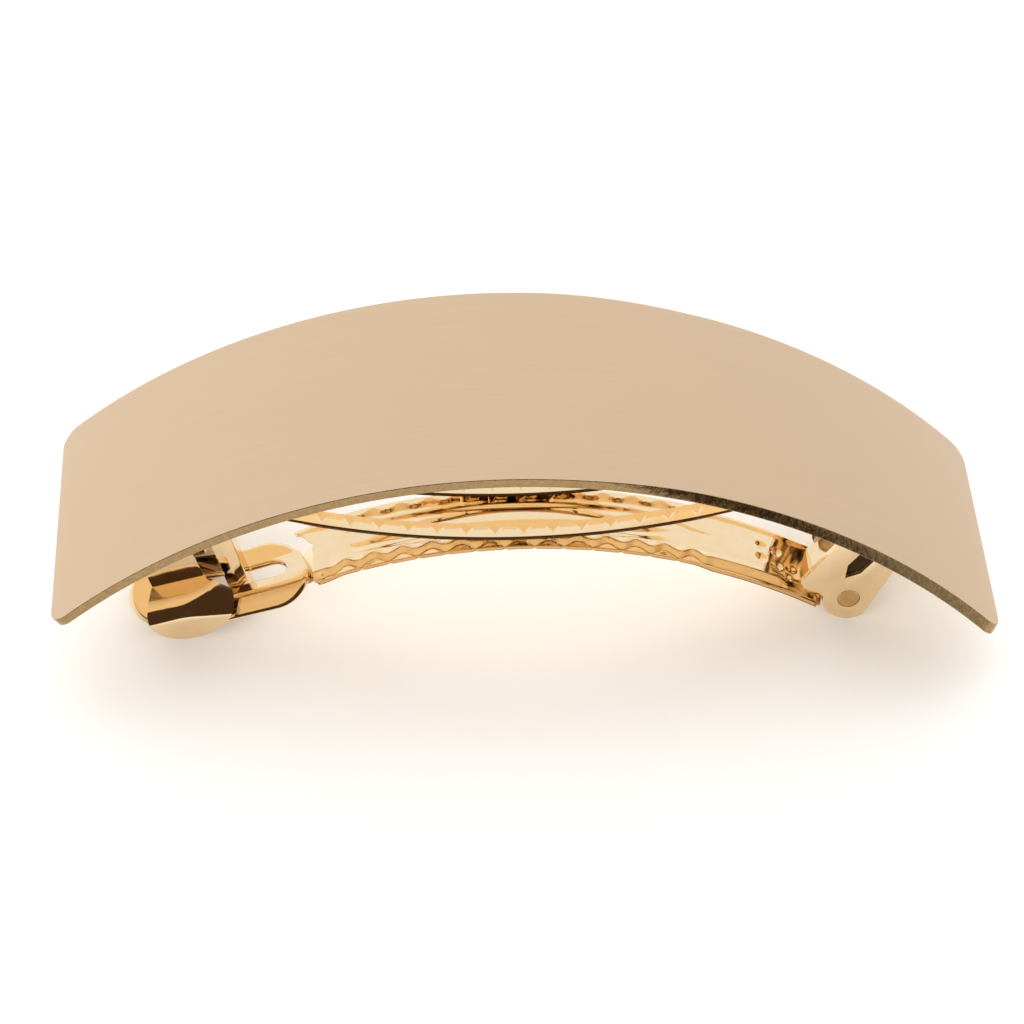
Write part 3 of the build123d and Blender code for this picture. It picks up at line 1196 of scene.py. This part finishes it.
@dataclass
class Bow:
    """The sprung strip with two dented rails between the arm and the base bar.

    A run is a distance along the bow from its lowest point, and a side is a distance across from
    its middle line.
    """

    shift: float
    rail_grid: tuple[int, int] = (620, 28)
    centre_x: float = 1.8
    radius: float = 86.0
    low: float = 11.3
    sheet: float = 0.5
    half_width: float = 4.65
    rail: float = 2.25
    bend_x: float = 24.5
    bend: float = 0.9
    slope: float = radians(45.0)
    foot: float = 1.6
    foot_inset: float = 0.1
    slot_end: float = 3.0
    dent_count: int = 14
    dent_pitch: float = 3.01
    dent_width: float = 1.55
    dent_height: float = 1.35
    dent_depth: float = 0.22
    dent_wall: Pair = (-0.02, 0.12)
    crown_drop: float = 0.06
    fold_share: float = 0.55
    lip: float = 0.045
    rim: float = 0.05
    rim_drop: float = 0.068

    def route(self) -> Route:
        """Draw the side view of the bow's upper face from its left foot to its right one.

        Returns:
            The route.
        """
        lean = asin(self.bend_x / self.radius)
        centre = (self.centre_x, self.low + self.radius)
        middle = arc(centre, self.radius - self.sheet, pi + lean, pi - lean)
        ends = []
        for point, side in ((middle[0], -1.0), (middle[-1], 1.0)):
            way = Vector((side * cos(self.slope), sin(self.slope)))
            head = point + way * UNDERSIDE.distance(point, way, self.foot_inset)
            angle = atan2(head.x - UNDERSIDE.centre[0], head.y - UNDERSIDE.centre[1])
            far = angle + side * self.foot / UNDERSIDE.radius
            tip = on_circle(UNDERSIDE.centre, UNDERSIDE.radius - self.foot_inset, far)
            ends.append((head, tip))
        left, right = ends
        return Route([left[1], left[0], *middle, right[0], right[1]], self.bend)

    def crown(self, side: float) -> float:
        """Raise a slight roof over each rail, which falls from the slot and rises to the edge.

        Args:
            side: Distance across.

        Returns:
            Height over the plain face.
        """
        far = abs(side)
        fold = self.half_width - self.rail * self.fold_share
        return -self.crown_drop * smooth(0.0, fold, far) + self.lip * max(0.0, far - fold)

    def dent(self, run: float, side: float) -> float:
        """Press the three-cornered dents.

        Args:
            run: Distance along the bow.
            side: Distance across it.

        Returns:
            Depth in millimetres.
        """
        index = round(run / self.dent_pitch - 0.5) + 0.5
        if abs(index) > self.dent_count / 2.0:
            return 0.0
        across = abs(run - index * self.dent_pitch)
        middle = (self.half_width - self.rail / 2.0) * (1.0 if side > 0.0 else -1.0)
        fall = (middle + self.dent_height / 2.0 - side) / self.dent_height
        if not 0.0 < fall < 1.0:
            return 0.0
        half = self.dent_width / 2.0 * (1.0 - fall)
        return self.dent_depth * fall * smooth(*self.dent_wall, half - across)

    def half_slot(self, run: float) -> float:
        """Find the slot between the rails, which is round at both ends.

        Args:
            run: Distance along the bow.

        Returns:
            Half its width there.
        """
        hole = self.half_width - self.rail
        over = max(0.0, abs(run) - (self.bend_x - self.slot_end - hole))
        return sqrt(max(0.0, hole**2 - over**2))

    def half_sheet(self, route: Route, sign: float) -> Mesh:
        """Lay the open half of the strip on one side of its middle line.

        Args:
            route: Side view of the bow's upper face.
            sign: 1 for the far half and -1 for the near one.

        Returns:
            The open sheet.
        """

        def place(u: float, v: float) -> Vector:
            """Point of the half, along the bow and across it.

            Args:
                u: Share along the bow.
                v: Share across the half.

            Returns:
                The point.
            """
            run, distance = route.length * (u - 0.5), route.length * u
            inner = self.half_slot(run)
            share = v if sign > 0.0 else 1.0 - v
            width = self.half_width - inner
            side = sign * (inner + rim_spread(share, width, self.rim, self.rail_grid[1]))
            edge = self.half_width - abs(side)
            if inner:
                edge = min(edge, abs(side) - inner)
            height = self.crown(side) - self.dent(run, side)
            height -= chamfered(edge, self.rim, self.rim_drop)
            spot = route.point(distance) + route.normal(distance) * height
            return Vector((spot.x, side, spot.y))

        return laid(*self.rail_grid, place)

    def build(self) -> bpy.types.Object:
        """Join both halves of the strip and dress them.

        Returns:
            The finished bow.
        """
        route = self.route()
        work, strip = Metalwork("spring_bow"), Metalwork("bow_strip")
        for sign in (-1.0, 1.0):
            strip.add(self.half_sheet(route, sign))
        work.add(thickened(strip.mesh, self.sheet))
        return work.finish(Body.FRAME, "bow", self.shift, POLISHED_CLIP)


@dataclass
class SqueezeCatch:
    """The folded sheet whose nose holds the ring and whose pads are squeezed to free it.

    It has a leaning frame of its own, X to the nose and Z up along the post. A height is a
    distance along that Z.
    """

    shift: float
    lean: float = radians(15.0)
    sheet: float = 0.6
    nose: Pair = (-26.15, 0.5)
    nose_half: float = 1.5
    nose_front: float = 0.6
    nose_facet: float = 1.05
    nose_slant: float = 0.42
    wall_grid: tuple[int, int] = (240, 32)
    wall_bend: float = 0.12
    wall_inset: float = 0.3
    wall_least: float = 0.1
    post_back: float = -1.55
    window_top: float = 10.5
    leg_half: float = 2.5
    leg_start: float = 3.3
    leg_end: float = 8.9
    leg_low: float = 5.75
    leg_high: float = 12.5
    leg_splay: float = 0.19
    foot_grid: tuple[int, int] = (30, 12)
    foot_length: float = 6.6
    foot_half: float = 3.6
    foot_inset: float = 0.1

    # The pads: an oval outline seen from the side, and a folded section seen from the end.
    pad_grid: tuple[int, int] = (64, 90)
    pad_row_power: float = 1.5
    pad_half: float = 5.9
    pad_long: float = 4.7
    pad_short: float = 3.3
    pad_tilt: float = radians(20.0)
    pad_x: float = -32.45
    pad_shelf: float = 6.55
    pad_clear: float = 0.12
    pad_lap: float = 0.3
    pad_edge: float = 0.02
    shelf_slope: float = 0.38
    shelf_flat: float = 1.85
    shelf_share: float = 0.72
    shelf_fall: float = 0.95
    fold_at: float = 5.2
    fold_bend: float = 0.35
    fold_split: float = 0.35
    fold_free: float = 0.9
    fold_pull: float = 2.5
    fold_power: float = 2.2
    lip_lean: float = 0.15
    lip_top: float = 4.05
    lip_fall: float = 0.85
    lip_power: float = 1.5
    notch_at: float = 0.72
    notch_step: float = 0.9
    notch_step_run: float = 0.07
    notch_slope: float = 1.3
    notch_slope_from: float = 0.08
    search_below: float = 2.0
    search_above: float = 3.0
    search_from: float = -12.0
    search_points: int = 80
    search_halvings: int = 30

    @property
    def stand(self) -> Matrix:
        """Place of the leaning catch."""
        lean = Matrix.Rotation(-self.lean, 4, "Y")
        return Matrix.Translation((self.nose[0], 0.0, self.nose[1])) @ lean

    @property
    def pad_drop(self) -> float:
        """Distance from the middle of the pad's oval to its lowest point."""
        return hypot(self.pad_long * sin(self.pad_tilt), self.pad_short * cos(self.pad_tilt))

    def top(self, x: float) -> float:
        """Find where the post meets the base bar.

        Args:
            x: Place across the post.

        Returns:
            Height of the meeting point.
        """
        base = self.stand @ Vector((x, 0.0, 0.0))
        way = self.stand.to_3x3() @ Vector((0.0, 0.0, 1.0))
        start = Vector((base.x, base.z))
        return UNDERSIDE.distance(start, Vector((way.x, way.z)), self.wall_inset)

    def walls(self) -> Mesh:
        """Fold the hollow post and the two legs from one strip, parted below by a window.

        Returns:
            The closed mesh.
        """
        half = self.nose_half
        corners = [
            Vector((-self.leg_end, -self.leg_half)),
            Vector((-self.leg_start, -self.leg_half)),
            Vector((self.post_back, -half)),
            Vector((self.nose_front - self.nose_facet, -half)),
            Vector((self.nose_front, self.nose_slant - half)),
        ]
        corners += [Vector((p.x, -p.y)) for p in reversed(corners)]
        route = Route(corners, self.wall_bend)
        # The rows of faces fall into four equal bands, between these levels and up to the bar.
        lower = (0.0, self.leg_low, self.window_top, self.leg_high)

        def place(u: float, v: float) -> Vector:
            """Point of the walls, round the post and up it, with the legs splayed.

            Args:
                u: Share round the post, from leg to leg.
                v: Share up the post.

            Returns:
                The point.
            """
            spot = route.point(route.length * u)
            levels = (*lower, max(self.leg_high + self.wall_least, self.top(spot.x)))
            band = min(3, int(v * 4.0))
            height = mix(levels[band], levels[band + 1], v * 4.0 - band)
            rise = max(0.0, height - self.pad_shelf)
            rise *= smooth(self.post_back, -self.leg_start, spot.x)
            side = spot.y * (1.0 + self.leg_splay * rise / self.leg_half)
            return self.stand @ Vector((spot.x, side, height))

        def spare(u: float, v: float) -> bool:
            """Whether a face lies in the window, or over or under the legs.

            Args:
                u: Share round the post, from leg to leg.
                v: Share up the post.

            Returns:
                Whether it is left out.
            """
            x, band = route.point(route.length * u).x, v * 4.0
            # A leg fills the two middle bands, and its root at the post only the upper of them.
            if x < -self.leg_start:
                return not 1.0 < band < 3.0
            return x < self.post_back and not 2.0 < band < 3.0

        return thickened(laid(*self.wall_grid, place, spare), self.sheet)

    def fold(self, u: float, low: float) -> Route:
        """Draw the section of a pad: a sloping shelf, a dark rounded fold and an upright lip.

        Args:
            u: Share along the pad, from its free end to the nose.
            low: Height of the pad's lowest point.

        Returns:
            The section, as distance from the middle and height.
        """
        shrink = max(0.0, (u - self.fold_split) / (1.0 - self.fold_split)) ** self.fold_power
        crease = self.fold_at - self.fold_free * max(0.0, self.fold_split - u)
        crease -= self.fold_pull * shrink
        shelf = min(self.shelf_flat, (crease - self.leg_half) * self.shelf_share)
        bend = self.leg_half + shelf
        bend_height = self.pad_shelf - self.shelf_slope * (bend - self.leg_half)
        lip_height = self.lip_top - self.lip_fall * u**self.lip_power
        return Route(
            [
                Vector((self.leg_half - self.pad_lap, self.pad_shelf)),
                Vector((self.leg_half, self.pad_shelf)),
                Vector((bend, bend_height)),
                Vector((crease, bend_height - self.shelf_fall * (crease - bend))),
                Vector((self.pad_half - self.lip_lean, lip_height)),
                Vector((self.pad_half, low)),
            ],
            self.fold_bend,
        )

    def in_oval(self, x: float, z: float) -> Pair:
        """Turn a step in the XZ plane to shares of the oval's half axes."""
        c, s = cos(self.pad_tilt), sin(self.pad_tilt)
        return (x * c + z * s) / self.pad_long, (-x * s + z * c) / self.pad_short

    def from_middle(self, point: Vector) -> Pair:
        """Turn a point to shares of the oval's half axes from the oval's middle."""
        return self.in_oval(point.x - self.pad_x, point.z - self.pad_drop - self.pad_clear)

    def span(self, height: float) -> Pair:
        """Find where the pad's oval outline is crossed at a height.

        Args:
            height: Height along the catch.

        Returns:
            Both crossings, as X in the catch's own frame.
        """
        way = self.stand.to_3x3() @ Vector((1.0, 0.0, 0.0))
        a0, b0 = self.from_middle(self.stand @ Vector((0.0, 0.0, height)))
        a1, b1 = self.in_oval(way.x, way.z)
        square, double, rest = a1**2 + b1**2, 2.0 * (a0 * a1 + b0 * b1), a0**2 + b0**2 - 1.0
        root = sqrt(max(0.0, double**2 - 4.0 * square * rest))
        return (-double - root) / (2.0 * square), (-double + root) / (2.0 * square)

    def lowest(self) -> float:
        """Find the lowest point of the pad.

        Returns:
            Its height.
        """

        def under(height: float) -> bool:
            """Whether the whole level at a height passes under the oval.

            Args:
                height: Height along the catch.

            Returns:
                Whether it does.
            """
            least = []
            for i in range(self.search_points):
                x = mix(self.search_from, 0.0, i / (self.search_points - 1.0))
                a, b = self.from_middle(self.stand @ Vector((x, 0.0, height)))
                least.append(a**2 + b**2)
            return min(least) > 1.0

        start = (self.stand.inverted() @ Vector((self.pad_x, 0.0, 0.0))).z
        low, high = start - self.search_below, start + self.search_above
        return crossing(low, high, under, self.search_halvings)[1]

    def pad(self, side: float) -> Mesh:
        """Form a finger pad: a shelf that leaves the leg and rolls down outside the ring.

        Args:
            side: 1 for the far pad and -1 for the near one.

        Returns:
            The closed mesh.
        """
        low = self.lowest() + self.pad_edge
        columns = self.pad_grid[0]
        sections = [self.fold(eased(i / columns), low) for i in range(columns + 1)]
        step_end = self.notch_at + self.notch_step_run
        slope_start = self.notch_at + self.notch_slope_from

        def place(u: float, v: float) -> Vector:
            """Point of the pad, along its oval and down its section, from the notch by the nose.

            Args:
                u: Share along the pad, before its spread.
                v: Share down the section.

            Returns:
                The point.
            """
            share = eased(u)
            notch = smooth(self.notch_at, step_end, share) * self.notch_step
            notch += self.notch_slope * smooth(slope_start, 1.0, share)
            section = sections[round(u * columns)]
            down = 1.0 - (1.0 - v) ** self.pad_row_power
            spot = section.point(mix(notch, section.length, down))
            x = mix(*self.span(spot.y), share)
            return self.stand @ Vector((x, side * spot.x, spot.y))

        part = laid(*self.pad_grid, place)
        if side < 0.0:
            bmesh.ops.reverse_faces(part, faces=part.faces)
        return thickened(part, self.sheet)

    def foot(self) -> Mesh:
        """Lay the foot along the underside of the base bar.

        Returns:
            The closed mesh.
        """
        head = self.stand @ Vector((0.0, 0.0, self.top(0.0)))
        angle = asin(head.x / UNDERSIDE.radius)
        radius = UNDERSIDE.radius - self.foot_inset

        def place(u: float, v: float) -> Vector:
            """Point of the foot, along the bar and across it.

            Args:
                u: Share along the bar.
                v: Share across.

            Returns:
                The point.
            """
            turn = angle - mix(self.foot_length, 0.0, u) / radius
            spot = on_circle(UNDERSIDE.centre, radius, turn)
            return Vector((spot.x, mix(-self.foot_half, self.foot_half, v), spot.y))

        return thickened(laid(*self.foot_grid, place), self.sheet)

    def build(self) -> bpy.types.Object:
        """Join walls, pads and foot and dress them.

        Returns:
            The finished catch.
        """
        work = Metalwork("squeeze_catch")
        for part in (self.walls(), self.pad(-1.0), self.pad(1.0), self.foot()):
            work.add(part)
        return work.finish(Body.FRAME, "catch", self.shift, POLISHED_CLIP)


@dataclass
class Studio:
    """Pale floor, soft light and the camera, in metres and watts."""

    eye: Triple = (-0.01442, -0.29876, 0.26329)
    back: Triple = (-0.0339, -0.7639, 0.6444)
    right: Triple = (0.9990, -0.0443, 0.0)
    lens: float = 131.6
    sensor: float = 36.0
    clip: Pair = (0.01, 20.0)

    floor_colour: str = "#fbfaf8"
    floor_roughness: float = 0.9
    floor_shine: float = 0.1
    floor_half: float = 2.5
    floor_cells: int = 4

    # The room is dim behind the camera and white at the back. The opening is a dark patch in it,
    # round a direction and only up to a height, that gives the polished metal something to mirror.
    front: float = 0.55
    back_wall: float = 1.0
    room_depth: Pair = (-0.5, 0.4)
    opening: Triple = (0.0, -0.966, 0.259)
    opening_colour: str = "#5f4734"
    opening_edge: Pair = (0.62, 0.74)
    opening_top: Pair = (0.74, 0.86)

    # Soft boxes: name, middle, size and power.
    boxes: tuple[tuple[str, Triple, Pair, float], ...] = (
        ("top_fill", (0.0, 0.0, 1.2), (1.6, 1.6), 2.0),
        ("front_fill", (-0.25, -1.0, 0.35), (2.0, 0.6), 18.0),
        ("back_fill", (0.0, 1.0, 0.35), (2.0, 0.6), 9.0),
    )

    def camera(self) -> None:
        """Set the camera at the view of the photograph."""
        data = bpy.data.cameras.new("camera")
        data.lens = self.lens
        data.sensor_width = self.sensor
        data.clip_start, data.clip_end = self.clip
        camera = link("camera", data)
        back = Vector(self.back).normalized()
        right = Vector(self.right).normalized()
        turn = Matrix((right, back.cross(right), back)).transposed().to_4x4()
        camera.matrix_world = Matrix.Translation(self.eye) @ turn
        bpy.context.scene.camera = camera

    def floor(self) -> None:
        """Lay a wide pale floor of matt paper."""
        part = bmesh.new()
        cells = self.floor_cells
        bmesh.ops.create_grid(part, x_segments=cells, y_segments=cells, size=self.floor_half)
        floor = show("floor", part)
        # Matt paper throws back a soft even white, with no glare of its own.
        paper = bpy.data.materials.new("matt_white_paper")
        tree = new_tree(paper)
        shader = add_node(
            tree,
            "ShaderNodeBsdfPrincipled",
            {
                "Base Color": linear(self.floor_colour),
                "Roughness": self.floor_roughness,
                "Specular IOR Level": self.floor_shine,
            },
        )
        add_node(tree, "ShaderNodeOutputMaterial", {"Surface": shader.outputs["BSDF"]})
        floor.data.materials.append(paper)

    def light(self, name: str, middle: Triple, size: Pair, power: float) -> None:
        """Hang one soft box that faces the object and that polished metal doesn't mirror.

        Args:
            name: Name of the light.
            middle: Its place.
            size: Its width and height.
            power: Its power.
        """
        data = bpy.data.lights.new(name, "AREA")
        data.shape = "RECTANGLE"
        data.size, data.size_y = size
        data.energy = power
        lamp = link(name, data)
        lamp.location = middle
        lamp.rotation_euler = (-Vector(middle)).to_track_quat("-Z", "Y").to_euler()
        lamp.visible_glossy = False

    def sky(self) -> None:
        """Give the room a soft white back, a dim front and the dark opening."""
        world = bpy.data.worlds.new("studio")
        tree = new_tree(world)
        where = add_node(tree, "ShaderNodeTexCoord").outputs["Generated"]
        split = add_node(tree, "ShaderNodeSeparateXYZ", {"Vector": where})
        room = add_node(
            tree,
            "ShaderNodeMapRange",
            {
                "Value": split.outputs["Y"],
                "From Min": self.room_depth[0],
                "From Max": self.room_depth[1],
                "To Min": self.front,
                "To Max": self.back_wall,
            },
            SOFT_STEP,
        )
        toward = add_node(
            tree, "ShaderNodeVectorMath", {0: where, 1: self.opening}, {"operation": "DOT_PRODUCT"}
        )
        card = add_node(
            tree,
            "ShaderNodeMapRange",
            {
                "Value": toward.outputs["Value"],
                "From Min": self.opening_edge[0],
                "From Max": self.opening_edge[1],
            },
            SOFT_STEP,
        )
        under = add_node(
            tree,
            "ShaderNodeMapRange",
            {
                "Value": split.outputs["Z"],
                "From Min": self.opening_top[0],
                "From Max": self.opening_top[1],
                "To Min": 1.0,
                "To Max": 0.0,
            },
            SOFT_STEP,
        )
        dark = add_node(
            tree,
            "ShaderNodeMath",
            {0: card.outputs["Result"], 1: under.outputs["Result"]},
            {"operation": "MULTIPLY"},
        )
        tint = add_node(
            tree,
            "ShaderNodeMix",
            {"Factor": dark.outputs[0], "A": linear("#ffffff"), "B": linear(self.opening_colour)},
            {"data_type": "RGBA"},
        )
        shade = add_node(
            tree,
            "ShaderNodeBackground",
            {"Color": tint.outputs["Result"], "Strength": room.outputs["Result"]},
        )
        add_node(tree, "ShaderNodeOutputWorld", {"Surface": shade.outputs[0]})
        bpy.context.scene.world = world

    def build(self) -> None:
        """Make the whole studio."""
        self.camera()
        self.floor()
        self.sky()
        for box in self.boxes:
            self.light(*box)
        bpy.context.scene.view_settings.view_transform = "Standard"


def main() -> None:
    """Dress every piece of the barrette, report it, and light the whole."""
    logging.basicConfig(level=logging.INFO)
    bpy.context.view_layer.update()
    plate = CoverPlate()
    clip = [kind(plate.shift) for kind in (HingePin, SwingArm, Bow, SqueezeCatch)]
    for builder in (plate, BaseBar(), *clip):
        piece = builder.build()
        LOG.info("%s: %d faces", piece.name, len(piece.data.polygons))
    Studio().build()


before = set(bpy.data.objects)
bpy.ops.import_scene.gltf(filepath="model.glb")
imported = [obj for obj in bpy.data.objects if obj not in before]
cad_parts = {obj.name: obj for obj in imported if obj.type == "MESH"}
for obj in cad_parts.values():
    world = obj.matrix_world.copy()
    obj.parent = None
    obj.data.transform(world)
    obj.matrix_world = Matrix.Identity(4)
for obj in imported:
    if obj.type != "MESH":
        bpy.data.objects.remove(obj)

if __name__ == "__main__":
    main()
